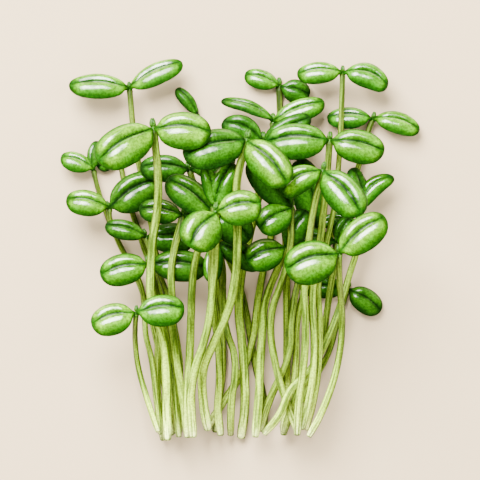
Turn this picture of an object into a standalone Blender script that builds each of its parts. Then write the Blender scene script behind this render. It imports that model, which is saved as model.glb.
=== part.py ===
# A bunch of cut sunflower microgreens, lying on its side on a flat surface.
# X runs across the bunch, Y from the cut ends to the leaves, Z up from the surface.
# Each sprout is a pale stem and a green pair of seed leaves with a bud between them.

import math
from dataclasses import dataclass

import bmesh
import bpy
import numpy as np
from mathutils import Matrix, Vector

MM = 0.001  # the sizes below are in millimetres

# Stems
STEM_SIDES = 7
STEM_RINGS = 10
CROWN_CLEARANCE = 2.9  # from the crown's centre to the stem's end
STEM_SAMPLES = 44

# Seed leaves
STALK_LENGTH = 1.4
STALK_RISE = 1.6  # of the blade above the crown
STALK_HALF_WIDTH = 1.0
BLADE_STATIONS = (0.03, 0.18, 0.44, 0.71, 0.92)  # along the blade, before its tip
BLADE_ACROSS = (-1.0, -0.5, 0.0, 0.5, 1.0)
EDGE_THICKNESS = 0.6
MIDDLE_THICKNESS = 1.2
LOBE_HEIGHT = 0.10  # of the blade's width, either side of the midrib
EDGE_CURL = 0.17  # of the blade's width, how far the edges turn down
ARCH = 0.06  # of the leaf's length, how far its middle rises
MIDRIB_SHIFT = 0.2  # of half the width, towards the top of the bunch

# Crown and bud, as (distance along the stem's line, radius)
CROWN_PROFILE = ((-2.1, 0.8), (0.0, 1.4), (1.4, 0.9), (2.5, 0.95))
BUD_TIP = 3.7
CROWN_SIDES = 5

# Laying
GAP = 0.35  # between pieces that touch
CELL = 0.4  # of the map of heights that the sprouts are laid on
MAP_HALF_SIZE = 80.0
STEM_SAG = 0.05  # how far each stretch of stem sags under the line between its neighbours
SETTLING_STEPS = 1500
SMOOTHING_STEPS = 8
CROWN_REACH = 9  # samples next to the crown that it stands at least as high as
SMOOTHING_REACH = 3  # samples to each side that a smoothed stem keeps clear of

STEM_COLOUR = (0.62, 0.72, 0.30, 1.0)
LEAF_COLOUR = (0.13, 0.38, 0.04, 1.0)


@dataclass
class Leaf:
    heading: float  # degrees, from +X towards +Y
    length: float
    width: float
    lean: float  # degrees, how far the upper face turns towards the top of the bunch
    pitch: float = 0.0  # degrees, tip up
    bow: float = 0.0  # of its length, how far its middle bends to the left of its heading


@dataclass
class Sprout:
    route: tuple  # (x, y) from the cut end to the crown
    foot_width: float
    crown_width: float
    leaves: tuple


# The sprouts in the order in which they are laid, the first ones on the surface.
SPROUTS = (
    Sprout(
        ((-9, -63.5), (-6.5, -45), (-6, -34), (-7, -19), (-9, 0), (-11.5, 19), (-13, 33), (-15.5, 48.5)),
        2.5, 2.5, (Leaf(129, 12, 5, 25), Leaf(232, 10, 6, 10, 8)),
    ),
    Sprout(
        ((14.5, -62), (22, -51.5), (31, -36), (34.5, -24), (38, -13)),
        2.4, 2.0, (Leaf(-34, 14, 9, 15, -3), Leaf(176, 17, 8, 10)),
    ),
    Sprout(
        ((15.4, -64.5), (16.5, -44.5), (16.5, -13), (16, 12), (15, 33), (14, 50), (14, 58.7)),
        3.0, 2.3, (Leaf(163, 13, 7.5, 25), Leaf(-17, 11, 8.5, 12)),
    ),
    Sprout(
        ((-23, -64), (-24.5, -37.5), (-28, -16), (-33, -1), (-38, 14), (-41.5, 27), (-42.7, 35)),
        2.3, 1.9, (Leaf(215, 9, 6, 8), Leaf(30, 11, 7, 8)),
    ),
    Sprout(
        (
            (-24, -64.5), (-26, -52), (-28.5, -38), (-30.5, -27), (-36.5, -9), (-45, 8), (-50, 22),
            (-51.8, 29),
        ),
        2.0, 1.7, (Leaf(161, 12.5, 8, 35), Leaf(80, 10.5, 5.5, 20, -8)),
    ),
    Sprout(
        (
            (-27.3, -66.3), (-28.7, -51.5), (-29.3, -40), (-28.6, -28), (-27.5, -16), (-31.5, 11),
            (-35.5, 30.5), (-38, 46), (-38.8, 57.5),
        ),
        2.4, 2.0, (Leaf(178, 21.5, 10.5, 38), Leaf(25, 21, 9.5, 40)),
    ),
    Sprout(
        (
            (-28, -64), (-29.5, -51), (-31.3, -37), (-33.5, -27), (-34.5, -13), (-41, 0), (-45.5, 10),
            (-46, 15.8),
        ),
        2.2, 1.8, (Leaf(170, 15.5, 10, 26), Leaf(31, 20, 13.5, 16)),
    ),
    Sprout(
        (
            (8.6, -62.5), (8.2, -50), (5, -38), (3.2, -27), (0.5, -14), (-5, 0), (-11, 12), (-15.5, 22),
            (-17.5, 29),
        ),
        2.7, 2.2, (Leaf(178, 17.5, 10.5, 25), Leaf(20, 17, 11, 10)),
    ),
    Sprout(
        ((-21.3, -63.5), (-21.3, -50), (-21.5, -36), (-25.5, -16), (-30.5, -2), (-33, 5.5)),
        2.4, 2.1, (Leaf(166, 15, 7.5, 26), Leaf(-3, 17, 11, 14)),
    ),
    Sprout(
        ((-21.5, -65), (-24, -40), (-27.5, -22), (-30.5, -9), (-32, -4)),
        2.5, 2.2, (Leaf(193, 17.5, 11.5, 16), Leaf(-4, 20.5, 11.5, 16)),
    ),
    Sprout(
        ((-18.5, -64.4), (-18.9, -60), (-21, -46), (-23.1, -32), (-23.8, -16.5), (-23.8, -3), (-20, 13)),
        2.8, 2.5, (Leaf(172, 15.5, 9, 20), Leaf(10, 15, 10, 10)),
    ),
    Sprout(
        (
            (20, -62), (19.3, -52), (19.3, -44.5), (20, -34), (20.2, -24), (22.5, -14), (29, 0),
            (36, 14), (42, 31), (45, 42), (46.8, 47),
        ),
        2.6, 2.0, (Leaf(181, 16, 9, 38), Leaf(-15, 17, 9, 35, 0, 0.04)),
    ),
    Sprout(
        (
            (-12, -62.3), (-9.3, -57.5), (-4.8, -51), (0.5, -42.7), (4.2, -32), (5.8, -20), (8.5, -5),
            (12, 12), (12.5, 25), (11.8, 46),
        ),
        2.9, 2.4, (Leaf(160, 20, 5.5, 40, 0, -0.06), Leaf(20, 19.5, 9, 30)),
    ),
    Sprout(
        (
            (0.3, -65.5), (1, -58.5), (2, -51.5), (1.3, -41), (0.6, -30), (-0.5, -16.5), (2, 0),
            (5.5, 15), (7.7, 28), (8, 39),
        ),
        3.4, 2.7, (Leaf(155, 16, 9, 14, 0, -0.08), Leaf(27, 19, 8, 10)),
    ),
    Sprout(
        ((7, -63), (9.8, -53.5), (13.5, -45), (17.3, -36), (18.2, -24), (20, -12), (24, 0), (26.5, 9)),
        2.8, 2.3, (Leaf(0, 15, 6, 28, 0, 0.12), Leaf(103, 25, 12, 12)),
    ),
    Sprout(
        (
            (15.5, -63.5), (18.6, -53.5), (21.5, -47.5), (26.5, -40), (29.5, -30), (31, -18), (33, -6),
            (34, 3.5),
        ),
        2.7, 2.3, (Leaf(176, 17.5, 8.5, 25), Leaf(60, 10, 7, 12)),
    ),
    Sprout(
        ((-3.3, -64.3), (-3, -52), (-1.5, -40), (-2.8, -33), (-5.2, -25), (-6, -14), (-6, -5), (-8, 3.5)),
        2.7, 2.2, (Leaf(264, 15.5, 7, 18, 22), Leaf(-28, 18, 9, 12)),
    ),
    Sprout(
        ((5.4, -65), (6.6, -52), (7, -41), (7.8, -30), (9, -17), (13, -6), (16, 2)),
        3.2, 2.6, (Leaf(200, 15, 11.5, 12, 8), Leaf(60, 15, 9, 10)),
    ),
    Sprout(
        (
            (20.3, -63), (16.1, -51.5), (14.2, -46), (12.2, -37.5), (10.8, -27), (11.8, -18), (15, -9),
            (17.5, 2), (17.8, 15.5),
        ),
        2.8, 2.3, (Leaf(212, 14.5, 11, 10, 16), Leaf(129, 23, 13, 12)),
    ),
    Sprout(
        ((-18.3, -65), (-18.6, -52), (-17.8, -38), (-17.2, -24), (-16.8, -13), (-15, 0), (-9.5, 13.7)),
        3.0, 2.6, (Leaf(144, 20, 11.5, 18), Leaf(-35, 16, 12, 12)),
    ),
    Sprout(
        ((-6.7, -64.5), (-7.8, -55), (-7.2, -45), (-7.6, -33), (-9.3, -20), (-10, -8), (-9.5, 5), (-9, 16)),
        2.9, 2.4, (Leaf(104, 15, 5.5, 15), Leaf(66, 17, 9.5, 12)),
    ),
    Sprout(
        (
            (8.4, -63.7), (12.3, -60), (16.1, -51.5), (18.5, -47), (21.5, -44.5), (26, -39.5),
            (29.5, -33), (33, -25), (36, -16.5), (38.5, -8), (41, 0), (42.3, 8), (42.7, 14.4),
        ),
        2.8, 2.2, (Leaf(46, 17, 7, 20, 0, 0.14), Leaf(103, 16, 8, 30)),
    ),
    Sprout(
        (
            (23.5, -62.5), (26.2, -51.5), (27.5, -43), (28.1, -32), (28, -23), (27.5, -12), (30, 2),
            (33, 15), (35, 35), (36.2, 63.2),
        ),
        2.1, 1.9, (Leaf(184, 16, 9, 35), Leaf(-18, 16.5, 10, 30, 0, 0.1)),
    ),
    Sprout(
        ((21.5, -62), (24.3, -50), (26, -38), (25.9, -27), (25.4, -13), (28, 4), (30, 21), (31.5, 39.2)),
        2.9, 2.4, (Leaf(182, 22.5, 14, 24), Leaf(-12, 19.5, 12.5, 20)),
    ),
    Sprout(
        (
            (20, -64), (20.6, -53), (21.8, -43), (22.9, -32), (23, -23.5), (22.5, -13), (24, 4),
            (26, 17), (28.8, 28.4),
        ),
        2.8, 2.4, (Leaf(210, 16.5, 10, 20, 4, -0.08), Leaf(-49, 21.5, 13, 12, 16)),
    ),
    Sprout(
        (
            (-11.2, -62.5), (-13, -51.5), (-13.2, -42.5), (-8.8, -30.5), (-4.2, -20), (-1.2, -5),
            (-1, 12), (-1, 25), (2.2, 39),
        ),
        3.3, 2.8, (Leaf(195, 23, 14.5, 20, 8), Leaf(-47, 22, 13, 10, 15)),
    ),
    Sprout(
        (
            (-16.4, -64.8), (-17.1, -55), (-16.6, -44.5), (-14.2, -35.5), (-11.4, -27), (-9.6, -13),
            (-8.6, 0), (-8.4, 14),
        ),
        3.1, 2.6, (Leaf(232, 16.5, 14.5, 5, 20), Leaf(10, 16, 13, 20)),
    ),
    Sprout(
        ((24, -64.5), (30, -53), (34.5, -38), (35.7, -24), (34.7, -12), (34, -0.3)),
        2.5, 2.3, (Leaf(197, 19.5, 15.5, 15, 5), Leaf(38, 20.5, 12.5, 20)),
    ),
    Sprout(
        (
            (-25.5, -66), (-26, -46), (-26.5, -32), (-31.3, -15), (-30, 8), (-28.4, 20), (-29, 34),
            (-30.1, 42.7),
        ),
        3.3, 2.8, (Leaf(211, 23.8, 14.8, 15, 18), Leaf(-4, 20, 14, 20)),
    ),
    Sprout(
        ((-28.7, -63), (-32.5, -52), (-35.7, -41), (-36.8, -31), (-36.4, -21)),
        2.2, 1.9, (Leaf(196, 16, 12, 25), Leaf(4, 17, 12, 25)),
    ),
)


# A smooth line through the route's points, evenly spaced along its length.
def smooth_route(route, count):
    points = np.array(route, float)
    ends = [2 * points[0] - points[1]], [2 * points[-1] - points[-2]]
    padded = np.concatenate([ends[0], points, ends[1]])
    fine = []
    for before, start, end, after in zip(padded, padded[1:], padded[2:], padded[3:]):
        for t in np.linspace(0, 1, 12, endpoint=False):
            bend = 2 * before - 5 * start + 4 * end - after
            twist = 3 * start - before - 3 * end + after
            fine.append(start + 0.5 * ((end - before) * t + bend * t**2 + twist * t**3))
    fine = np.array(fine + [points[-1]])
    along = np.concatenate([[0], np.cumsum(np.linalg.norm(np.diff(fine, axis=0), axis=1))])
    at = np.linspace(0, along[-1], count)
    return np.column_stack([np.interp(at, along, fine[:, k]) for k in (0, 1)])


# Half the width of a blade, as a share of its greatest half width: t runs from its base to its tip.
def blade_outline(t):
    if t < 0.5:
        return (1 - (1 - 2 * t) ** 2.1) ** 0.5
    return max(1 - (2 * t - 1) ** 2.2, 0) ** 0.5


# The leaf's axes: along it, across it, and out of its upper face.
def leaf_axes(leaf):
    heading, pitch, lean = (math.radians(a) for a in (leaf.heading, leaf.pitch, leaf.lean))
    along = Vector((math.cos(heading), math.sin(heading), 0)) * math.cos(pitch)
    along.z = math.sin(pitch)
    turn = -lean if math.cos(heading) > 0 else lean
    across = Matrix.Rotation(turn, 3, along) @ Vector((0, 0, 1)).cross(along).normalized()
    return np.array([along, across, along.cross(across)])


# One seed leaf from its crown, as points and triangles: a stalk, then a blade with a lobe on
# either side of its groove.
def leaf_shape(leaf):
    blade_length = leaf.length - STALK_LENGTH
    stations = [(0.0, STALK_HALF_WIDTH)]
    for t in BLADE_STATIONS:
        half = max(STALK_HALF_WIDTH, blade_outline(t) * leaf.width / 2)
        stations.append((STALK_LENGTH + t * blade_length, half))
    shift = MIDRIB_SHIFT if math.cos(math.radians(leaf.heading)) > 0 else -MIDRIB_SHIFT
    tops, bottoms = [], []
    for x, half in stations:
        bend = leaf.bow * leaf.length * 4 * (x / leaf.length) * (1 - x / leaf.length)
        towards_top = shift * math.sin(math.pi * min(max((x - STALK_LENGTH) / blade_length, 0), 1))
        fullness = 2 * half / leaf.width
        arch = ARCH * leaf.length * 4 * (x / leaf.length) * (1 - x / leaf.length)
        middle = arch + STALK_RISE * min(x / STALK_LENGTH, 1)
        for v in BLADE_ACROSS:
            lobe = LOBE_HEIGHT * leaf.width * fullness * math.sin(math.pi * abs(v))
            z = middle + lobe - EDGE_CURL * leaf.width * fullness * v * v
            thick = EDGE_THICKNESS + (MIDDLE_THICKNESS - EDGE_THICKNESS) * (1 - v * v)
            y = bend + half * (v + towards_top * (1 - v * v))
            tops.append((x, y, z + thick / 2))
            bottoms.append((x, y, z - thick / 2))
    tops.append((leaf.length, 0, STALK_RISE + EDGE_THICKNESS / 2))
    bottoms.append((leaf.length, 0, STALK_RISE - EDGE_THICKNESS / 2))
    columns, tip, below = len(BLADE_ACROSS), len(tops) - 1, len(tops)
    faces = []
    for row in range(len(stations)):
        for column in range(columns - 1):
            a = row * columns + column
            b = a + 1
            if row == len(stations) - 1:
                upper = [(a, tip, b)]
            else:
                upper = [(a, a + columns, b + columns), (a, b + columns, b)]
            faces += upper
            faces += [(i + below, k + below, j + below) for i, j, k in upper]
        for a, outward in ((row * columns, False), (row * columns + columns - 1, True)):
            c = tip if row == len(stations) - 1 else a + columns
            rim = [(a, a + below, c + below), (a, c + below, c)]
            faces += [(i, k, j) for i, j, k in rim] if outward else rim
    for a in range(columns - 1):
        faces += [(a, a + 1, a + 1 + below), (a, a + 1 + below, a + below)]
    return np.array(tops + bottoms) @ leaf_axes(leaf), np.array(faces)


# A tube round the points, closed at both ends, with a flat side underneath.
def tube_shape(points, radii, sides):
    points = np.array(points, float)
    rings = []
    for i, point in enumerate(points):
        tangent = Vector(points[min(i + 1, len(points) - 1)] - points[max(i - 1, 0)]).normalized()
        side = tangent.cross(Vector((0, 0, 1))).normalized()
        up = side.cross(tangent)
        corner = radii[i] / math.cos(math.pi / sides)
        for k in range(sides):
            angle = 2 * math.pi * (k + 0.5) / sides
            offset = corner * (math.sin(angle) * side - math.cos(angle) * up)
            rings.append(point + np.array(offset))
    faces = []
    for row in range(len(points) - 1):
        for k in range(sides):
            a, b = row * sides + k, row * sides + (k + 1) % sides
            faces += [(a, b, b + sides), (a, b + sides, a + sides)]
    last = len(rings) - sides
    faces += [(0, k + 1, k) for k in range(1, sides - 1)]
    faces += [(last, last + k, last + k + 1) for k in range(1, sides - 1)]
    return np.array(rings), np.array(faces)


# The crown that joins the leaf stalks, with the bud standing on it, along the stem's line.
def crown_shape(direction, scale):
    along = np.array([distance for distance, _ in CROWN_PROFILE] + [BUD_TIP]) * scale
    radii = [radius * scale for _, radius in CROWN_PROFILE] + [0.25 * scale]
    return tube_shape(along[:, None] * direction, radii, CROWN_SIDES)


# Points spread over the triangles, closer together than the cells of the map.
def spread_points(points, faces):
    corners = points[faces]
    sides = np.linalg.norm(corners - np.roll(corners, 1, axis=1), axis=2).max(axis=1)
    steps = np.maximum(2, np.ceil(sides / (CELL * 0.7)).astype(int))
    spread = []
    for n in np.unique(steps):
        i, j = (grid.ravel() for grid in np.mgrid[0 : n + 1, 0 : n + 1])
        kept = i + j <= n
        weights = np.column_stack([i, j, n - i - j])[kept] / n
        spread.append(np.einsum("wk,tkc->twc", weights, corners[steps == n]).reshape(-1, 3))
    return np.concatenate(spread)


def cells_of(points):
    return tuple(((points[:, k] + MAP_HALF_SIZE) / CELL).astype(int) for k in (0, 1))


# The map of heights that the next sprout is laid on, which starts as the bare surface.
class HeightMap:
    def __init__(self):
        size = int(2 * MAP_HALF_SIZE / CELL)
        self.top = np.full((size, size), -GAP)

    def raise_to(self, points, faces):
        spread = spread_points(points, faces)
        np.maximum.at(self.top, cells_of(spread), spread[:, 2])

    def widened(self):
        padded = np.pad(self.top, 1, mode="edge")
        size = len(self.top)
        shifts = [padded[i : i + size, j : j + size] for i in range(3) for j in range(3)]
        return np.max(shifts, axis=0)

    # How far up a shape must go to lie just clear of what is under it.
    def lift_for(self, points, faces):
        spread = spread_points(points, faces)
        return float((self.widened()[cells_of(spread)] + GAP - spread[:, 2]).max())

    # The lowest height of a stem's middle at each point of its line.
    def stem_heights(self, line, radii):
        ground = self.widened()
        reach = np.arange(-math.ceil(max(radii) / CELL), math.ceil(max(radii) / CELL) + 1) * CELL
        dx, dy = (grid.ravel() for grid in np.meshgrid(reach, reach))
        heights = []
        for point, radius in zip(line, radii):
            near = dx**2 + dy**2 <= radius**2
            around = np.column_stack([point[0] + dx[near], point[1] + dy[near]])
            under = np.sqrt(radius**2 - dx[near] ** 2 - dy[near] ** 2)
            heights.append((ground[cells_of(around)] + GAP + under).max())
        return np.array(heights)


# A stem hangs like a slack line between what holds it up, and is then smoothed.
def settled_heights(lowest, crown_height):
    floor = lowest.copy()
    floor[-1] = max(crown_height, floor[-CROWN_REACH:].max())
    padded = np.pad(floor, SMOOTHING_REACH, mode="edge")
    floor = np.max([padded[k : k + len(floor)] for k in range(2 * SMOOTHING_REACH + 1)], axis=0)
    z = np.maximum(floor, floor[-1])
    for _ in range(SETTLING_STEPS):
        z[1:-1] = np.maximum(floor[1:-1], (z[:-2] + z[2:]) / 2 - STEM_SAG)
        z[0] = max(floor[0], 2 * z[1] - z[2])
    for _ in range(SMOOTHING_STEPS):
        z[1:-1] = (z[:-2] + 2 * z[1:-1] + z[2:]) / 4
    return z


# The sprout's own shapes, laid on the map and added to it: its stem, and the pieces of its crown and leaves.
def lay_sprout(sprout, heights):
    line = smooth_route(sprout.route, STEM_SAMPLES)
    share = np.linspace(0, 1, STEM_SAMPLES)
    radii = (sprout.foot_width + (sprout.crown_width - sprout.foot_width) * share) / 2
    crown = line[-1]
    direction = np.append(crown - line[-3], 0)
    direction /= np.linalg.norm(direction)
    pieces = [crown_shape(direction, sprout.crown_width / 2.4)]
    pieces += [leaf_shape(leaf) for leaf in sprout.leaves]
    pieces = [(points + np.append(crown, 0), faces) for points, faces in pieces]
    crown_height = max(heights.lift_for(*piece) for piece in pieces)
    z = settled_heights(heights.stem_heights(line, radii), crown_height)
    pieces = [(points + (0, 0, z[-1]), faces) for points, faces in pieces]
    middle = np.column_stack([line, z])
    along = np.concatenate([[0], np.cumsum(np.linalg.norm(np.diff(middle, axis=0), axis=1))])
    at = np.linspace(0, along[-1] - CROWN_CLEARANCE, STEM_RINGS)
    rings = np.column_stack([np.interp(at, along, middle[:, k]) for k in range(3)])
    stem = tube_shape(rings, np.interp(at, along, radii), STEM_SIDES)
    lift = np.array([0, 0, max(heights.lift_for(*stem), 0)])
    stem, *pieces = [(points + lift, faces) for points, faces in [stem, *pieces]]
    for piece in [stem, *pieces]:
        heights.raise_to(*piece)
    return stem, pieces


def material(name, colour, roughness):
    made = bpy.data.materials.new(name)
    made.use_nodes = True
    shader = made.node_tree.nodes["Principled BSDF"]
    shader.inputs["Base Color"].default_value = colour
    shader.inputs["Roughness"].default_value = roughness
    shader.inputs["Metallic"].default_value = 0.0
    return made


def mesh_object(name, shape, collection, finish):
    points, faces = shape
    mesh = bpy.data.meshes.new(name)
    mesh.from_pydata([Vector(p) * MM for p in points], [], faces.tolist())
    mesh.materials.append(finish)
    shaped = bmesh.new()
    shaped.from_mesh(mesh)
    bmesh.ops.recalc_face_normals(shaped, faces=shaped.faces)
    shaped.to_mesh(mesh)
    shaped.free()
    mesh.shade_smooth()
    made = bpy.data.objects.new(name, mesh)
    collection.objects.link(made)
    return made


# The crown with both leaves joined to it as one body.
def leaves_object(name, pieces, finish):
    crown = mesh_object(name, pieces[0], bpy.context.scene.collection, finish)
    blades = bpy.data.collections.new(name + "_blades")
    bpy.context.scene.collection.children.link(blades)
    for number, piece in enumerate(pieces[1:], 1):
        mesh_object(f"{name}_blade_{number}", piece, blades, finish)
    union = crown.modifiers.new("union", "BOOLEAN")
    union.operation = "UNION"
    union.solver = "EXACT"
    union.operand_type = "COLLECTION"
    union.collection = blades
    bpy.context.view_layer.objects.active = crown
    bpy.ops.object.modifier_apply(modifier=union.name)
    for blade in list(blades.objects):
        bpy.data.objects.remove(blade)
    bpy.data.collections.remove(blades)
    crown.data.set_sharp_from_angle(angle=math.radians(50))
    return crown


# Moves the laid bunch so that the middle of its outline stands over the origin.
def centring_shift(laid):
    points = np.concatenate([points for stem, pieces in laid for points, _ in [stem, *pieces]])
    middle = (points.min(axis=0) + points.max(axis=0)) / 2
    return np.array([-middle[0], -middle[1], 0])


def main():
    for old in list(bpy.data.objects):
        bpy.data.objects.remove(old)
    stem_finish = material("stem", STEM_COLOUR, 0.5)
    leaf_finish = material("leaf", LEAF_COLOUR, 0.35)
    heights = HeightMap()
    laid = [lay_sprout(sprout, heights) for sprout in SPROUTS]
    shift = centring_shift(laid)
    for number, (stem, pieces) in enumerate(laid, 1):
        name = f"sprout_{number:02d}"
        pieces = [(points + shift, faces) for points, faces in pieces]
        stem = (stem[0] + shift, stem[1])
        made = mesh_object(name + "_stem", stem, bpy.context.scene.collection, stem_finish)
        made.data.set_sharp_from_angle(angle=math.radians(60))
        leaves_object(name + "_leaves", pieces, leaf_finish)


main()
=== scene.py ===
import math

import bmesh
import bpy
import numpy as np
from mathutils import Matrix, Vector, noise


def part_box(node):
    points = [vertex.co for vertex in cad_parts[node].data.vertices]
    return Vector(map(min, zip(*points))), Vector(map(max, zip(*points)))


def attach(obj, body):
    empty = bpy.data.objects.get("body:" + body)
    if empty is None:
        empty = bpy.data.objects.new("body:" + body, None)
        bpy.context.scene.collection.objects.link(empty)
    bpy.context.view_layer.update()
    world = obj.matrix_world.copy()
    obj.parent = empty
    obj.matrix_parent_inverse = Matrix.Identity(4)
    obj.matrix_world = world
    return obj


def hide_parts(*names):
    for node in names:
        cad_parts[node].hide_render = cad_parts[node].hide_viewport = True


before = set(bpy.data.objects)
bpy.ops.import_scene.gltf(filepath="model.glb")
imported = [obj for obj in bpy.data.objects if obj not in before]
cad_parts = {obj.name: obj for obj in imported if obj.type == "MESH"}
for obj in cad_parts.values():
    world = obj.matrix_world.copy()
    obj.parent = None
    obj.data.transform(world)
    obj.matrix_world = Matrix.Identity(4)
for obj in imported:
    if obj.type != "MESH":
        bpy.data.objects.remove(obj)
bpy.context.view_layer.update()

# A bunch of cut sunflower microgreens, lying down and seen from straight above.
# Each sprout is a pale stem with a pair of glossy seed leaves and a bud between them.

mm = 0.001

# One row for each leaf: heading, length, width, lean, pitch and bow as in the solids (millimetres,
# degrees, and the bow as a share of the length), then its painted shade: how light its green is painted,
# from 0, a leaf deep in the bunch painted dark as if in shade, to 1, a leaf on top of it painted as lit.
sproutLeaves = {
    1: ((129, 12, 5, 25, 0, 0, 0.15), (232, 10, 6, 10, 8, 0, 0.15)),
    2: ((-34, 14, 9, 15, -3, 0, 0.25), (176, 17, 8, 10, 0, 0, 0.10)),
    3: ((163, 13, 7.5, 25, 0, 0, 0.55), (-17, 11, 8.5, 12, 0, 0, 0.20)),
    4: ((215, 9, 6, 8, 0, 0, 0.15), (30, 11, 7, 8, 0, 0, 0.15)),
    5: ((161, 12.5, 8, 35, 0, 0, 0.60), (80, 10.5, 5.5, 20, -8, 0, 0.25)),
    6: ((178, 21.5, 10.5, 38, 0, 0, 0.62), (25, 21, 9.5, 40, 0, 0, 0.62)),
    7: ((170, 15.5, 10, 26, 0, 0, 0.66), (31, 20, 13.5, 16, 0, 0, 0.30)),
    8: ((178, 17.5, 10.5, 25, 0, 0, 0.15), (20, 17, 11, 10, 0, 0, 0.15)),
    9: ((166, 15, 7.5, 26, 0, 0, 0.28), (-3, 17, 11, 14, 0, 0, 0.22)),
    10: ((193, 17.5, 11.5, 16, 0, 0, 0.60), (-4, 20.5, 11.5, 16, 0, 0, 0.28)),
    11: ((172, 15.5, 9, 20, 0, 0, 0.30), (10, 15, 10, 10, 0, 0, 0.12)),
    12: ((181, 16, 9, 38, 0, 0, 0.45), (-15, 17, 9, 35, 0, 0.04, 0.62)),
    13: ((160, 20, 5.5, 40, 0, -0.06, 0.30), (20, 19.5, 9, 30, 0, 0, 0.60)),
    14: ((155, 16, 9, 14, 0, -0.08, 0.20), (27, 19, 8, 10, 0, 0, 0.12)),
    15: ((0, 15, 6, 28, 0, 0.12, 0.22), (103, 25, 12, 12, 0, 0, 0.20)),
    16: ((176, 17.5, 8.5, 25, 0, 0, 0.20), (60, 10, 7, 12, 0, 0, 0.12)),
    17: ((264, 15.5, 7, 18, 22, 0, 0.45), (-28, 18, 9, 12, 0, 0, 0.15)),
    18: ((200, 15, 11.5, 12, 8, 0, 0.52), (60, 15, 9, 10, 0, 0, 0.18)),
    19: ((212, 14.5, 11, 10, 16, 0, 0.50), (129, 23, 13, 12, 0, 0, 0.20)),
    20: ((144, 20, 11.5, 18, 0, 0, 0.30), (-35, 16, 12, 12, 0, 0, 0.12)),
    21: ((104, 15, 5.5, 15, 0, 0, 0.40), (66, 17, 9.5, 12, 0, 0, 0.42)),
    22: ((46, 17, 7, 20, 0, 0.14, 0.48), (103, 16, 8, 30, 0, 0, 0.22)),
    23: ((184, 16, 9, 35, 0, 0, 0.60), (-18, 16.5, 10, 30, 0, 0.1, 0.52)),
    24: ((182, 22.5, 14, 24, 0, 0, 0.55), (-12, 19.5, 12.5, 20, 0, 0, 0.62)),
    25: ((210, 16.5, 10, 20, 4, -0.08, 0.62), (-49, 21.5, 13, 12, 16, 0, 0.58)),
    26: ((195, 23, 14.5, 20, 8, 0, 0.30), (-47, 22, 13, 10, 15, 0, 0.74)),
    27: ((232, 16.5, 14.5, 5, 20, 0, 0.70), (10, 16, 13, 20, 0, 0, 0.72)),
    28: ((197, 19.5, 15.5, 15, 5, 0, 0.68), (38, 20.5, 12.5, 20, 0, 0, 0.72)),
    29: ((211, 23.8, 14.8, 15, 18, 0, 0.76), (-4, 20, 14, 20, 0, 0, 0.72)),
    30: ((196, 16, 12, 25, 0, 0, 0.74), (4, 17, 12, 25, 0, 0, 0.60)),
}


def clearSelection():
    bpy.ops.object.select_all(action="DESELECT")


def makeActive(*objects):
    clearSelection()
    for obj in objects:
        obj.select_set(True)
    bpy.context.view_layer.objects.active = objects[0]


def copyOf(master, name):
    made = master.copy()
    made.data = master.data.copy()
    made.name = name
    made.data.name = name
    bpy.context.collection.objects.link(made)
    return made


def readPoints(mesh):
    points = np.empty(len(mesh.vertices) * 3)
    mesh.vertices.foreach_get("co", points)
    return points.reshape(-1, 3)


def writePoints(mesh, points):
    mesh.vertices.foreach_set("co", np.ascontiguousarray(points, np.float32).ravel())
    mesh.update()


def paintPoints(mesh, name, value):
    layer = mesh.attributes.get(name) or mesh.attributes.new(name, "FLOAT", "POINT")
    layer.data.foreach_set("value", np.broadcast_to(value, len(mesh.vertices)).astype(np.float32))


def applyModifiers(obj):
    makeActive(obj)
    for modifier in list(obj.modifiers):
        bpy.ops.object.modifier_apply(modifier=modifier.name)


# Material helpers

def startMaterial(name):
    made = bpy.data.materials.new(name)
    made.use_nodes = True
    tree = made.node_tree
    return made, tree, tree.nodes["Principled BSDF"]


def addNode(tree, kind, inputs=None, **settings):
    made = tree.nodes.new(kind)
    for key, value in settings.items():
        setattr(made, key, value)
    for key, value in (inputs or {}).items():
        if isinstance(value, bpy.types.NodeSocket):
            tree.links.new(value, made.inputs[key])
        else:
            made.inputs[key].default_value = value
    return made


def math2(tree, operation, first, second=0.0):
    return addNode(tree, "ShaderNodeMath", {0: first, 1: second}, operation=operation).outputs[0]


def placeOf(tree):
    return addNode(tree, "ShaderNodeTexCoord").outputs["Object"]


def attributeOf(tree, name, output="Fac"):
    return addNode(tree, "ShaderNodeAttribute", attribute_name=name).outputs[output]


def opaque(colour):
    return (*colour, 1.0)


def grey(value):
    return (value, value, value, 1.0)


def rampOf(tree, factor, stops):
    # Up to three stops ease into one another, and more are joined by straight lines
    ramp = addNode(tree, "ShaderNodeValToRGB", {"Fac": factor})
    ramp.color_ramp.interpolation = "LINEAR" if len(stops) > 3 else "EASE"
    elements = ramp.color_ramp.elements
    while len(elements) < len(stops):
        elements.new(0.5)
    for element, (position, colour) in zip(elements, stops):
        element.position = position
        element.color = colour
    return ramp.outputs["Color"]


def bandOf(tree, factor, band, first, last):
    # The first colour up to the band's start, and the last one from its end
    start, end = band
    return rampOf(tree, factor, [(start, first), (end, last)])


def mixColours(tree, factor, first, second, blend="MIX"):
    made = addNode(tree, "ShaderNodeMix", data_type="RGBA", blend_type=blend)
    for socket, value in (("Factor_Float", factor), ("A_Color", first), ("B_Color", second)):
        target = next(s for s in made.inputs if s.identifier == socket)
        if isinstance(value, bpy.types.NodeSocket):
            tree.links.new(value, target)
        else:
            target.default_value = value
    return next(s for s in made.outputs if s.identifier == "Result_Color")


def noiseOf(tree, vector, scale, detail, roughness):
    inputs = {"Vector": vector, "Scale": scale, "Detail": detail, "Roughness": roughness}
    return addNode(tree, "ShaderNodeTexNoise", inputs).outputs["Fac"]


def bumpOf(tree, height, distance, strength):
    inputs = {"Strength": strength, "Distance": distance, "Height": height}
    return addNode(tree, "ShaderNodeBump", inputs).outputs["Normal"]


noiseMiddle = 0.5           # of any noise, which runs from 0 to 1
wearBand = (0.38, 0.62)     # the noise values where wear is at its darkest and its lightest


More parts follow.
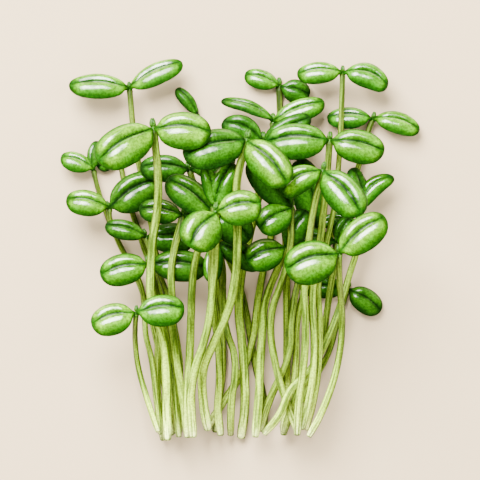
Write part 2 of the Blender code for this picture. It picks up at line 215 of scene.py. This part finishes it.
def worn(tree, factor, colour, low, high):
    # Darkens and lightens a colour where the factor is low and high
    tint = bandOf(tree, factor, wearBand, opaque(low), opaque(high))
    return mixColours(tree, 1.0, colour, tint, "MULTIPLY")


def setShine(shader, look):
    shader.inputs["Roughness"].default_value = look["roughness"]
    shader.inputs["Specular IOR Level"].default_value = look["specular"]


# Leaf and bud materials. Colours are the linear ones that the shader takes. A noise is its scale,
# detail and roughness, a wear is its dark and its light tint, and a band is where a ramp starts and ends.

leafLook = {
    # Within each set of greens, the pale crest is painted highlight on the top of each lobe, and the dark
    # midrib and margin are painted shade in the groove and on the curled-down edge.
    "light": {
        "midrib": (0.006, 0.030, 0.003), "valley": (0.030, 0.118, 0.002), "side": (0.042, 0.160, 0.001),
        "litCrest": (0.150, 0.335, 0.002), "margin": (0.009, 0.055, 0.001),
    },
    # The dark greens are a shaded copy of the light ones: painted shade for the leaves deep in the bunch.
    "dark": {
        "midrib": (0.003, 0.014, 0.002), "valley": (0.006, 0.034, 0.002), "side": (0.010, 0.058, 0.002),
        "litCrest": (0.021, 0.102, 0.004), "margin": (0.004, 0.022, 0.002),
    },
    # Painted light and shade across a lobe: dark in the midrib groove, pale on the crest, dark again at
    # the margin.
    "lobeLightAndShade": (    # across a lobe, from the midrib at 0 to the margin at 1
        (0.0, "midrib"), (0.07, "midrib"), (0.14, "valley"), (0.32, "litCrest"), (0.50, "litCrest"),
        (0.72, "side"), (1.0, "margin"),
    ),
    "shadeBand": (0.22, 0.78), "middleShade": 0.4, "middleTint": (0.62, 0.95, 1.0),
    "rimBand": (0.70, 0.93), "wander": 0.5, "rimWander": 0.5,
    "grain": (1200, 4.0, 0.7), "grainWear": ((0.58, 0.66, 0.5), (1.35, 1.40, 1.2)),
    "cloud": (260, 2.0, 0.55), "cloudWear": ((0.66, 0.74, 0.6), (1.2, 1.22, 1.1)),
    "bump": 0.0003, "skinBump": 0.5, "waxBump": 0.2, "dullBump": 0.4,
    "roughness": 0.5, "specular": 0.03,
    "wax": 1.0, "waxRoughness": 0.10, "waxIor": 2.0, "waxMargin": 0.2,
    "waxPatch": 0.4, "patchBand": (0.38, 0.52), "waxDeep": 0.25, "deepBand": (0.12, 0.5),
    "underDark": (0.014, 0.065, 0.005), "underLight": (0.090, 0.210, 0.020),
    "underGrain": (1200, 4.0, 0.65), "underWear": ((0.72, 0.76, 0.66), (1.25, 1.2, 1.25)),
    "budDark": (0.006, 0.040, 0.003), "budLight": (0.050, 0.160, 0.010), "budBand": (0.3, 0.7),
    "budGrain": (1200, 3.0, 0.55), "budWax": 0.2,
}


def foldedOut(tree, value):
    # 0 in the middle of the sheet and 1 at either edge of it
    doubled = addNode(tree, "ShaderNodeMath", {0: value, 1: 2.0, 2: -1.0}, operation="MULTIPLY_ADD")
    return math2(tree, "ABSOLUTE", doubled.outputs[0])


def leafSheet(tree, cloud):
    # How far a place lies from the midrib and how near to the rim, both wandering a little
    sheet = addNode(tree, "ShaderNodeUVMap", uv_map="UVMap").outputs["UV"]
    split = addNode(tree, "ShaderNodeSeparateXYZ", {0: sheet})
    across = foldedOut(tree, split.outputs["Y"])
    along = foldedOut(tree, split.outputs["X"])
    wander = math2(tree, "MULTIPLY", math2(tree, "SUBTRACT", cloud, noiseMiddle), leafLook["wander"])
    lobe = math2(tree, "ADD", across, math2(tree, "MULTIPLY", wander, across))
    rimWander = math2(tree, "MULTIPLY", wander, leafLook["rimWander"])
    edge = math2(tree, "ADD", math2(tree, "MAXIMUM", across, along), rimWander)
    return lobe, edge


def leafGreen(tree, lobe, edge, lightness):
    # Painted light and shade along each lobe: a pale crest as painted highlight, and a dark midrib groove
    # and a dark rim as painted shade, in the greens of a deep leaf painted as shaded or of a top one
    # painted as lit
    rim = bandOf(tree, edge, leafLook["rimBand"], grey(0), grey(1))

    def shadedLobes(greens):
        stops = [(at, opaque(greens[name])) for at, name in leafLook["lobeLightAndShade"]]
        return mixColours(tree, rim, rampOf(tree, lobe, stops), opaque(greens["margin"]))

    # Painted shade: the shade attribute blends from the shaded greens of a deep leaf to the lit greens of
    # a top one.
    low, high = leafLook["shadeBand"]
    spread = {"Value": lightness, "From Min": low, "From Max": high}
    shade = addNode(tree, "ShaderNodeMapRange", spread).outputs[0]
    colour = mixColours(tree, shade, shadedLobes(leafLook["dark"]), shadedLobes(leafLook["light"]))
    stops = [(0.0, grey(1)), (leafLook["middleShade"], opaque(leafLook["middleTint"])), (1.0, grey(1))]
    return mixColours(tree, 1.0, colour, rampOf(tree, shade, stops), "MULTIPLY")


def leafWax(tree, edge, cloud, lightness):
    # The wax stops short of the rim, is thin in patches, and is thinner on the deep leaves
    look = leafLook
    rimStart = look["rimBand"][0]
    fade = (rimStart - look["waxMargin"], rimStart)
    inside = bandOf(tree, edge, fade, grey(look["wax"]), grey(0))
    patches = bandOf(tree, cloud, look["patchBand"], grey(look["waxPatch"]), grey(1))
    exposed = bandOf(tree, lightness, look["deepBand"], grey(look["waxDeep"]), grey(1))
    return math2(tree, "MULTIPLY", inside, math2(tree, "MULTIPLY", patches, exposed))


def makeLeafSkin():
    made, tree, shader = startMaterial("leafSkin")
    look = leafLook
    place = placeOf(tree)
    cloud = noiseOf(tree, place, *look["cloud"])
    grain = noiseOf(tree, place, *look["grain"])
    lightness = attributeOf(tree, "shade")
    lobe, edge = leafSheet(tree, cloud)
    colour = leafGreen(tree, lobe, edge, lightness)
    colour = worn(tree, grain, colour, *look["grainWear"])
    colour = worn(tree, cloud, colour, *look["cloudWear"])
    tree.links.new(colour, shader.inputs["Base Color"])
    tree.links.new(bumpOf(tree, grain, look["bump"], look["skinBump"]), shader.inputs["Normal"])
    tree.links.new(bumpOf(tree, grain, look["bump"], look["waxBump"]), shader.inputs["Coat Normal"])
    tree.links.new(leafWax(tree, edge, cloud, lightness), shader.inputs["Coat Weight"])
    shader.inputs["Coat Roughness"].default_value = look["waxRoughness"]
    shader.inputs["Coat IOR"].default_value = look["waxIor"]
    setShine(shader, look)
    return made


def makeLeafUnderside():
    made, tree, shader = startMaterial("leafUnderside")
    look = leafLook
    grain = noiseOf(tree, placeOf(tree), *look["underGrain"])
    lightness = attributeOf(tree, "shade")
    # Painted shade: the underside is painted darker on leaves deep in the bunch.
    colour = mixColours(tree, lightness, opaque(look["underDark"]), opaque(look["underLight"]))
    colour = worn(tree, grain, colour, *look["underWear"])
    tree.links.new(colour, shader.inputs["Base Color"])
    tree.links.new(bumpOf(tree, grain, look["bump"], look["dullBump"]), shader.inputs["Normal"])
    setShine(shader, look)
    return made


def makeBudSkin():
    made, tree, shader = startMaterial("budSkin")
    look = leafLook
    grain = noiseOf(tree, placeOf(tree), *look["budGrain"])
    colour = bandOf(tree, grain, look["budBand"], opaque(look["budDark"]), opaque(look["budLight"]))
    tree.links.new(colour, shader.inputs["Base Color"])
    tree.links.new(bumpOf(tree, grain, look["bump"], look["dullBump"]), shader.inputs["Normal"])
    shader.inputs["Coat Weight"].default_value = look["budWax"]
    shader.inputs["Coat Roughness"].default_value = look["waxRoughness"]
    setShine(shader, look)
    return made


# Stem materials

stemLook = {
    # The pale cut foot greening upwards is the stem's own colour; the sharp darkening at the crown end is
    # painted shade under the leaves.
    "climb": (    # from the cut foot at 0 to the crown at 1
        (0.0, (0.92, 1.0, 0.30)), (0.05, (0.74, 0.95, 0.11)), (0.14, (0.48, 0.68, 0.036)),
        (0.35, (0.280, 0.450, 0.016)), (0.6, (0.210, 0.350, 0.015)), (0.9, (0.155, 0.245, 0.012)),
        (1.0, (0.040, 0.085, 0.005)),
    ),
    # Painted shade: a stem deep in the bunch is mixed towards this dark olive, and one on top keeps its
    # climbing greens, by the lightness below.
    "deep": (0.032, 0.053, 0.004),
    "lightness": (    # of each sprout's stem, from 0, deep in the bunch, to 1, on top of it
        0.30, 0.45, 0.45, 0.40, 0.45, 0.40, 0.55, 0.20, 0.30, 0.35, 0.80, 0.45, 0.50, 0.65, 0.35,
        0.40, 0.45, 0.75, 0.45, 0.65, 0.50, 0.75, 0.70, 0.75, 0.60, 0.80, 0.85, 0.95, 1.00, 0.85,
    ),
    # Painted shade: the flanks of a stem, where it turns away from above, are tinted darker.
    "flankBand": (0.25, 0.85), "flankShadeTint": (0.26, 0.34, 0.18),
    "streak": (1150, 3.0, 0.6), "streakStretch": 0.06,
    "streakWear": ((0.32, 0.39, 0.28), (1.70, 1.70, 2.0)),
    "grain": (1400, 4.0, 0.65), "grainWear": ((0.70, 0.74, 0.66), (1.28, 1.25, 1.35)),
    "bump": 0.0004, "bumpStrength": 0.6, "grainBump": 0.5,
    "roughness": 0.45, "specular": 0.12,
    "cutDark": (0.45, 0.55, 0.10), "cutLight": (0.78, 0.86, 0.36), "cutBand": (0.35, 0.65),
    "cutPores": (3500, 2.0, 0.55), "cutRoughness": 0.55,
}


def makeStemSkin():
    # Green climbs from the pale foot, streaked along the fibres; painted shade darkens the crown end, the
    # stems deep in the bunch, and the flanks where the stem turns away from above
    made, tree, shader = startMaterial("stemSkin")
    look = stemLook
    fibre = attributeOf(tree, "fibre", "Vector")
    stretch = {"Vector": fibre, "Scale": (1.0, 1.0, look["streakStretch"])}
    streak = noiseOf(tree, addNode(tree, "ShaderNodeMapping", stretch).outputs[0], *look["streak"])
    grain = noiseOf(tree, fibre, *look["grain"])
    colour = rampOf(tree, attributeOf(tree, "climb"), [(at, opaque(tone)) for at, tone in look["climb"]])
    # Painted shade: deep stems are mixed towards the dark olive.
    colour = mixColours(tree, attributeOf(tree, "shade"), opaque(look["deep"]), colour)
    colour = worn(tree, streak, colour, *look["streakWear"])
    colour = worn(tree, grain, colour, *look["grainWear"])
    # Painted shade on the stem's flanks.
    flank = attributeOf(tree, "flank")
    paintedFlankShade = bandOf(tree, flank, look["flankBand"], grey(1), opaque(look["flankShadeTint"]))
    colour = mixColours(tree, 1.0, colour, paintedFlankShade, "MULTIPLY")
    tree.links.new(colour, shader.inputs["Base Color"])
    height = math2(tree, "ADD", streak, math2(tree, "MULTIPLY", grain, look["grainBump"]))
    tree.links.new(bumpOf(tree, height, look["bump"], look["bumpStrength"]), shader.inputs["Normal"])
    setShine(shader, look)
    return made


def makeCutFace():
    made, tree, shader = startMaterial("cutFace")
    look = stemLook
    pores = noiseOf(tree, placeOf(tree), *look["cutPores"])
    colour = bandOf(tree, pores, look["cutBand"], opaque(look["cutDark"]), opaque(look["cutLight"]))
    tree.links.new(colour, shader.inputs["Base Color"])
    shader.inputs["Roughness"].default_value = look["cutRoughness"]
    return made


# Seed leaves. Lengths are in millimetres, and the heights of lobe, curl and arch are shares of the
# leaf's width or length.

leafForm = {
    "cellsAlong": 26, "cellsAcross": 14, "stripHalfWidth": 0.045,
    "stalkLength": 1.4, "stalkRise": 1.6, "stalkHalfWidth": 0.9, "stalkRound": 0.8, "stalkJoin": 4,
    "baseFullness": 2.1, "tipFullness": 2.2,
    "lobeHeight": 0.105, "lobeRise": 5, "edgeCurl": 0.17, "arch": 0.06, "midribShift": 0.2,
    "grooveDepth": 0.45, "grooveHalfWidth": 0.085, "grooveFade": 4,
    "ripple": 0.20, "rippleScale": 0.22, "rippleStep": 7.3, "rippleAtMidrib": 0.4,
    "middleThickness": 1.25, "edgeShare": 0.52,
}


def makeLeafBlank():
    # A flat square sheet, with a narrow strip down its middle that will sink into the midrib's groove
    clearSelection()
    bpy.ops.mesh.primitive_grid_add(
        x_subdivisions=leafForm["cellsAlong"], y_subdivisions=leafForm["cellsAcross"], size=2)
    blank = bpy.context.object
    blank.name = "leafBlank"
    bpy.ops.object.mode_set(mode="EDIT")
    bpy.ops.mesh.select_mode(type="EDGE")
    bpy.ops.mesh.select_all(action="DESELECT")
    sheet = bmesh.from_edit_mesh(blank.data)
    onLine = 1e-4
    for edge in sheet.edges:
        edge.select = all(abs(vert.co.y) < onLine for vert in edge.verts)
    bmesh.update_edit_mesh(blank.data)
    bpy.ops.mesh.bevel(offset=leafForm["stripHalfWidth"], offset_type="OFFSET", segments=2)
    bpy.ops.object.mode_set(mode="OBJECT")
    return blank


def bladeOutline(t):
    # Half the blade's width, as a share of the most, from its base at 0 to its tip at 1
    base = np.clip(1 - 2 * t, 0, 1)
    tip = np.clip(2 * t - 1, 0, 1)
    opening = (1 - base ** leafForm["baseFullness"]) ** 0.5
    closing = (1 - tip ** leafForm["tipFullness"]) ** 0.5
    return np.where(t < 0.5, opening, closing)


def leafAxes(heading, lean, pitch):
    # The leaf's own directions along, across and up. The lean lifts its side nearer the cut feet.
    along = Vector((math.cos(heading), math.sin(heading), 0)) * math.cos(pitch)
    along.z = math.sin(pitch)
    turn = -lean if math.cos(heading) > 0 else lean
    across = Matrix.Rotation(turn, 3, along) @ Vector((0, 0, 1)).cross(along).normalized()
    return np.array([along, across, along.cross(across)])


def leafSurface(flat, row, seed):
    # Lays the sheet's points out as a blade with two lobes on a short stalk, in the leaf's own
    # directions, and tells how far each lies from the midrib, from -1 to 1
    heading, length, width, _, _, bow, _ = row
    form = leafForm
    u, v = flat[:, 0], flat[:, 1]
    discX = u * np.sqrt(1 - v**2 / 2)     # the square becomes a disc
    discY = v * np.sqrt(1 - u**2 / 2)
    side = np.clip(discY / np.sqrt(np.clip(1 - discX**2, 1e-9, 1)), -1, 1)
    share = (discX + 1) / 2
    x = share * length
    t = np.clip((x - form["stalkLength"]) / (length - form["stalkLength"]), 0, 1)
    blade = bladeOutline(t) * width / 2
    stalk = form["stalkHalfWidth"] * np.sqrt(np.clip(x / form["stalkRound"], 0, 1)) * (t < 0.5)
    half = (blade ** form["stalkJoin"] + stalk ** form["stalkJoin"]) ** (1 / form["stalkJoin"])
    fullness = np.clip(2 * half / width, 0, 1)
    onBlade = np.clip(t * form["lobeRise"], 0, 1)
    towardsTop = 1 if math.cos(math.radians(heading)) > 0 else -1
    shift = towardsTop * form["midribShift"] * (1 - side**2) * np.sin(math.pi * t)
    hump = 4 * share * (1 - share) * length     # 0 at both ends of the leaf, its length in the middle
    y = bow * hump + half * (side + shift)
    middle = form["arch"] * hump + form["stalkRise"] * np.clip(x / form["stalkLength"], 0, 1)
    lobe = form["lobeHeight"] * width * fullness * np.sin(math.pi * np.abs(side)) * onBlade
    valley = np.exp(-((side / form["grooveHalfWidth"]) ** 2))
    groove = form["grooveDepth"] * valley * onBlade * (1 - t ** form["grooveFade"])
    z = middle + lobe - groove - form["edgeCurl"] * width * fullness * side**2
    for k in range(len(z)):
        place = Vector((x[k] * form["rippleScale"], y[k] * form["rippleScale"], seed * form["rippleStep"]))
        z[k] += form["ripple"] * noise.noise(place) * (form["rippleAtMidrib"] + side[k] ** 2)
    return np.column_stack([x, y, z]), side


def shapeLeaf(leaf, row, seed):
    heading, _, _, lean, pitch, _, lightness = row
    surface, side = leafSurface(readPoints(leaf.data), row, seed)
    axes = leafAxes(*(math.radians(a) for a in (heading, lean, pitch)))
    writePoints(leaf.data, surface @ axes * mm)
    paintPoints(leaf.data, "shade", lightness)
    thick = leaf.vertex_groups.new(name="thick")
    for k, amount in enumerate(1 - side**2):
        thick.add([k], float(amount), "REPLACE")


def finishLeaf(leaf, skins):
    # Gives the sheet its thickness, less at the margin than at the midrib, and rounds its rim
    leaf.data.materials.clear()
    for skin in skins:
        leaf.data.materials.append(skin)
    solid = leaf.modifiers.new("thickness", "SOLIDIFY")
    solid.thickness = leafForm["middleThickness"] * mm
    solid.offset = 0
    solid.vertex_group = "thick"
    solid.thickness_vertex_group = leafForm["edgeShare"]
    solid.material_offset = 1
    smooth = leaf.modifiers.new("smooth", "SUBSURF")
    smooth.levels = smooth.render_levels = 1
    applyModifiers(leaf)
    leaf.vertex_groups.clear()


# The bud and the knob under it, in millimetres, on a stem of the radius given here

budForm = {
    "length": 2.9, "thickness": 0.72, "width": 0.95, "taper": -0.6, "spread": 0.30, "tilt": -2,
    "knobRadius": 1.15, "knobStretch": (1.1, 1.0, 1.4), "knobLift": -0.4, "budLift": 0.8,
    "stemRadius": 1.2,
}


def makeBudBlank(skin):
    # Two folded leaflets, each a squashed ball drawn out to a point, standing side by side
    leaflets = []
    for side in (-1, 1):
        clearSelection()
        bpy.ops.mesh.primitive_uv_sphere_add(segments=14, ring_count=10, radius=1)
        leaflet = bpy.context.object
        taper = leaflet.modifiers.new("taper", "SIMPLE_DEFORM")
        taper.deform_method = "TAPER"
        taper.deform_axis = "Z"
        taper.factor = budForm["taper"]
        applyModifiers(leaflet)
        leaflet.scale = (budForm["thickness"], budForm["width"], budForm["length"] / 2)
        leaflet.location = (side * budForm["spread"], 0, budForm["length"] / 2)
        leaflet.rotation_euler = (0, math.radians(side * budForm["tilt"]), 0)
        leaflets.append(leaflet)
    makeActive(*leaflets)
    bpy.ops.object.join()
    bud = bpy.context.object
    bud.name = "budBlank"
    bpy.ops.object.transform_apply(location=True, rotation=True, scale=True)
    bud.data.materials.clear()
    bud.data.materials.append(skin)
    return bud


def makeKnobBlank(skin):
    # The knob in which both leaf stalks meet the stem
    clearSelection()
    bpy.ops.mesh.primitive_uv_sphere_add(segments=16, ring_count=10, radius=budForm["knobRadius"])
    knob = bpy.context.object
    knob.name = "knobBlank"
    bpy.ops.object.mode_set(mode="EDIT")
    bpy.ops.mesh.select_all(action="SELECT")
    bpy.ops.transform.resize(value=budForm["knobStretch"])
    bpy.ops.object.mode_set(mode="OBJECT")
    knob.data.materials.clear()
    knob.data.materials.append(skin)
    return knob


def restOnSurface(piece):
    # What would dip under the surface lies flat on it
    points = readPoints(piece.data)
    points[:, 2] = np.maximum(points[:, 2], 0)
    writePoints(piece.data, points)


# Stems. Each is made straight with a radius of 1, and its guide's radii give it its real one. The foot's
# bevel and cuts are shares of that radius, and footLength is in millimetres.

stemForm = {
    "sides": 18, "rings": 84, "blankLength": 100, "cadSides": 7, "cadDecimals": 6,
    "footBevel": 0.45, "cutRim": (0.22, -0.12), "cutCore": (0.2, 0.1),
    "crownShare": 0.98, "flare": 1.12, "footTaper": 0.3, "footLength": 4,
    "fibreWidth": 1.5, "fibreStep": 0.3, "waveRate": 160, "waveStep": 9.1,
    "waviness": 0.05, "wavinessScale": 0.8, "ridge": 0.035, "ridgeAround": 3, "ridgeAlong": 0.12,
}


def makeStemBlank(skins):
    # A straight stem, with a rounded rim and a hollowed face at its cut foot
    height = stemForm["blankLength"]
    clearSelection()
    bpy.ops.mesh.primitive_cylinder_add(
        vertices=stemForm["sides"], radius=1, depth=height, end_fill_type="NGON",
        location=(0, 0, height / 2))
    blank = bpy.context.object
    blank.name = "stemBlank"
    bpy.ops.object.transform_apply(location=True)
    blank.data.materials.clear()
    for skin in skins:
        blank.data.materials.append(skin)
    bpy.ops.object.mode_set(mode="EDIT")
    bpy.ops.mesh.select_mode(type="EDGE")
    bpy.ops.mesh.select_all(action="DESELECT")
    shell = bmesh.from_edit_mesh(blank.data)
    for edge in shell.edges:    # the long edges, from foot to top
        edge.select = abs(edge.verts[0].co.z - edge.verts[1].co.z) > height / 2
    bmesh.update_edit_mesh(blank.data)
    bpy.ops.mesh.subdivide(number_cuts=stemForm["rings"])
    bpy.ops.mesh.select_mode(type="FACE")
    bpy.ops.mesh.select_all(action="DESELECT")
    shell = bmesh.from_edit_mesh(blank.data)
    facingDown = -0.9
    for face in shell.faces:
        face.select = face.normal.z < facingDown
        face.material_index = 1 if face.select else 0
    bmesh.update_edit_mesh(blank.data)
    bpy.ops.mesh.bevel(offset=stemForm["footBevel"], segments=3, affect="EDGES", material=0)
    for thickness, depth in (stemForm["cutRim"], stemForm["cutCore"]):
        bpy.ops.mesh.inset(thickness=thickness, depth=depth)
    bpy.ops.object.mode_set(mode="OBJECT")
    return blank


def cadRings(node):
    # The middles and radii of the solid stem's rings, each at one place along Y, from its foot to its top
    points = np.unique(np.round(readPoints(node.data), stemForm["cadDecimals"]), axis=0)
    rings = points[np.argsort(points[:, 1])].reshape(-1, stemForm["cadSides"], 3)
    middles = rings.mean(axis=1)
    corner = np.linalg.norm(rings - middles[:, None], axis=2).mean(axis=1)
    return middles, corner * math.cos(math.pi / stemForm["cadSides"])


def makeGuide(node, crown):
    # A curve up the middle of the solid stem and on into the crown
    middles, radii = cadRings(node)
    reach = Vector(crown) - Vector(middles[-1])
    top = Vector(middles[-1]) + reach * stemForm["crownShare"]
    points = [Vector(p) for p in middles] + [top]
    radii = list(radii) + [radii[-1] * stemForm["flare"]]
    curve = bpy.data.curves.new("guide", "CURVE")
    curve.dimensions = "3D"
    curve.resolution_u = 12
    curve.twist_mode = "MINIMUM"
    spline = curve.splines.new("BEZIER")
    spline.bezier_points.add(len(points) - 1)
    for knot, point, radius in zip(spline.bezier_points, points, radii):
        knot.co = point
        knot.radius = radius
        knot.handle_left_type = knot.handle_right_type = "AUTO"
    guide = bpy.data.objects.new("guide", curve)
    bpy.context.collection.objects.link(guide)
    bpy.context.view_layer.update()
    return guide, spline.calc_length()


def stemSwell(flat, climb, length, number):
    # A stem is a little wavy and ridged, and its foot draws in towards the cut
    form = stemForm
    angle = np.arctan2(flat[:, 1], flat[:, 0])
    swell = np.ones(len(flat))
    for k in range(len(flat)):
        height = climb[k] * length * form["waveRate"] + number * form["waveStep"]
        around = Vector((math.cos(angle[k]), math.sin(angle[k]), height))
        swell[k] += form["waviness"] * noise.noise(around * form["wavinessScale"])
        stretch = (form["ridgeAround"], form["ridgeAround"], form["ridgeAlong"])
        swell[k] += form["ridge"] * noise.noise(around * Vector(stretch))
    rise = np.clip(climb * length / (form["footLength"] * mm), 0, 1)
    return swell * (1 - form["footTaper"] * (1 - rise) ** 2)


def makeStem(blank, number, crown, lightness):
    guide, length = makeGuide(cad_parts[f"sprout_{number:02d}_stem"], crown)
    stem = copyOf(blank, f"stem{number:02d}")
    flat = readPoints(stem.data)
    climb = flat[:, 2] / stemForm["blankLength"]
    fibreAlong = climb * length + number * stemForm["fibreStep"]
    fibre = np.column_stack([flat[:, :2] * mm * stemForm["fibreWidth"], fibreAlong])
    layer = stem.data.attributes.new("fibre", "FLOAT_VECTOR", "POINT")
    layer.data.foreach_set("vector", fibre.astype(np.float32).ravel())
    paintPoints(stem.data, "climb", climb)
    paintPoints(stem.data, "shade", lightness)
    flat[:, :2] *= stemSwell(flat, climb, length, number)[:, None]
    flat[:, 2] = climb * length
    writePoints(stem.data, flat)
    bend = stem.modifiers.new("bend", "CURVE")
    bend.object = guide
    bend.deform_axis = "POS_Z"
    applyModifiers(stem)
    bpy.data.objects.remove(guide)
    bpy.ops.object.shade_smooth()
    # Painted shade: how far each point's normal turns from straight up, to darken the stem's flanks.
    normals = np.empty(len(stem.data.vertices) * 3)
    stem.data.vertices.foreach_get("normal", normals)
    paintPoints(stem.data, "flank", 1 - np.clip(normals.reshape(-1, 3)[:, 2], 0, 1))
    restOnSurface(stem)
    return stem


def makeCrown(blanks, number, lightness):
    # The knob and the bud, turned along the stem's last stretch and sized to its top
    middles, radii = cadRings(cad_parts[f"sprout_{number:02d}_stem"])
    scale = radii[-1] / mm / budForm["stemRadius"]
    direction = Vector(middles[-1] - middles[-2])
    direction.z = 0
    turn = direction.to_track_quat("Z", "Y").to_matrix().to_4x4()
    parts = []
    for key, lift in (("knob", budForm["knobLift"]), ("bud", budForm["budLift"])):
        part = copyOf(blanks[key], f"{key}{number:02d}")
        part.data.transform(turn @ Matrix.Translation((0, 0, lift * mm)) @ Matrix.Scale(scale * mm, 4))
        paintPoints(part.data, "shade", lightness)
        parts.append(part)
    return parts


def makeLeafPair(blanks, skins, number):
    # Two leaves, a knob and a bud in one piece, moved to the middle of the solid pair's box
    rows = sproutLeaves[number]
    members = []
    for which, row in enumerate(rows):
        leaf = copyOf(blanks["leaf"], f"leaf{number:02d}{'ab'[which]}")
        shapeLeaf(leaf, row, number * 2 + which)
        finishLeaf(leaf, skins)
        members.append(leaf)
    members += makeCrown(blanks, number, max(row[-1] for row in rows))
    makeActive(*members)
    bpy.ops.object.join()
    pair = bpy.context.object
    pair.name = f"leafPair{number:02d}"
    bpy.ops.object.shade_smooth()
    points = readPoints(pair.data)
    low, high = points.min(axis=0), points.max(axis=0)
    cadLow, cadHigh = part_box(f"sprout_{number:02d}_leaves")
    crown = (Vector(cadLow) + Vector(cadHigh) - Vector(low) - Vector(high)) / 2
    pair.data.transform(Matrix.Translation(crown))
    restOnSurface(pair)
    return pair, crown


# Studio

studio = {
    "photoPixels": 480, "millimetresPerPixel": 0.35, "photoMiddle": (240, 253),
    "tableShift": (-0.06, -0.87),    # millimetres that the part was moved by to centre it
    "cameraHeight": 2.0, "focusHeight": 0.022, "sensor": 36.0, "nearest": 0.1, "farthest": 20,
    "floorSize": 6.0, "floorTones": ((0.680, 0.524, 0.324), (0.698, 0.537, 0.333)),
    "toneBand": (0.3, 0.7), "floorGrain": (3, 2.0, 0.55),
    "floorShine": {"roughness": 0.9, "specular": 0.1},
    "skyStrength": 0.7,
    "sky": ((0.0, 0.5), (0.3, 0.8), (0.7, 1.0), (0.88, 0.6), (1.0, 0.2)),
    "lightColour": (1.0, 0.985, 0.95),
    "lights": {    # place, size, power, and whether the leaves mirror it
        "keyLight": ((-0.35, 0.80, 1.00), (0.90, 0.95), 115, True),
        "rightLight": ((0.95, 0.30, 1.00), (0.80, 0.80), 12, False),
        "lowLight": ((-0.20, -1.00, 0.90), (0.90, 0.60), 12, False),
        "leftLight": ((-1.00, -0.10, 0.70), (0.80, 0.60), 9, False),
    },
}


def makeFloor():
    clearSelection()
    bpy.ops.mesh.primitive_plane_add(size=studio["floorSize"])
    floor = bpy.context.object
    floor.name = "floor"
    made, tree, shader = startMaterial("floorPaper")
    grain = noiseOf(tree, placeOf(tree), *studio["floorGrain"])
    dark, light = (opaque(tone) for tone in studio["floorTones"])
    tree.links.new(bandOf(tree, grain, studio["toneBand"], dark, light), shader.inputs["Base Color"])
    setShine(shader, studio["floorShine"])
    floor.data.materials.append(made)


def makeCamera():
    across = studio["photoPixels"] * studio["millimetresPerPixel"] * mm
    middle = studio["photoPixels"] / 2
    px, py = studio["photoMiddle"]
    x = (middle - px) * studio["millimetresPerPixel"] + studio["tableShift"][0]
    y = (py - middle) * studio["millimetresPerPixel"] + studio["tableShift"][1]
    data = bpy.data.cameras.new("camera")
    data.sensor_width = studio["sensor"]
    data.lens = studio["sensor"] * studio["cameraHeight"] / across
    data.clip_start = studio["nearest"]
    data.clip_end = studio["farthest"]
    camera = bpy.data.objects.new("camera", data)
    camera.location = (x * mm, y * mm, studio["cameraHeight"] + studio["focusHeight"])
    bpy.context.collection.objects.link(camera)
    bpy.context.scene.camera = camera


def makeLight(name, place, size, power, mirrored):
    data = bpy.data.lights.new(name, "AREA")
    data.shape = "RECTANGLE"
    data.size, data.size_y = size
    data.energy = power
    data.color = studio["lightColour"]
    light = bpy.data.objects.new(name, data)
    light.location = place
    light.visible_glossy = mirrored
    light.rotation_euler = (-Vector(place)).to_track_quat("-Z", "Y").to_euler()
    bpy.context.collection.objects.link(light)


def makeSky():
    # Soft light from all round, which no glossy piece mirrors
    world = bpy.data.worlds.new("studioSky")
    bpy.context.scene.world = world
    world.use_nodes = True
    tree = world.node_tree
    direction = addNode(tree, "ShaderNodeTexCoord").outputs["Generated"]
    height = addNode(tree, "ShaderNodeSeparateXYZ", {0: direction}).outputs["Z"]
    background = tree.nodes["Background"]
    stops = [(at, grey(strength)) for at, strength in studio["sky"]]
    tree.links.new(rampOf(tree, height, stops), background.inputs["Color"])
    background.inputs["Strength"].default_value = studio["skyStrength"]
    world.cycles_visibility.glossy = False


def makeStudio():
    makeFloor()
    makeCamera()
    makeSky()
    for name, light in studio["lights"].items():
        makeLight(name, *light)


def main():
    makeStudio()
    print("studio ready")
    leafSkins = [makeLeafSkin(), makeLeafUnderside()]
    budSkin = makeBudSkin()
    stemSkins = [makeStemSkin(), makeCutFace()]
    blanks = {"leaf": makeLeafBlank(), "bud": makeBudBlank(budSkin), "knob": makeKnobBlank(budSkin)}
    stemBlank = makeStemBlank(stemSkins)
    print("blanks ready")
    for number in sproutLeaves:
        pair, crown = makeLeafPair(blanks, leafSkins, number)
        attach(pair, "root")
        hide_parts(f"sprout_{number:02d}_leaves")
        stem = makeStem(stemBlank, number, crown, stemLook["lightness"][number - 1])
        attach(stem, "root")
        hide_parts(f"sprout_{number:02d}_stem")
    print("sprouts ready:", len(sproutLeaves))
    for blank in (*blanks.values(), stemBlank):
        bpy.data.objects.remove(blank)


main()
bpy.context.view_layer.update()
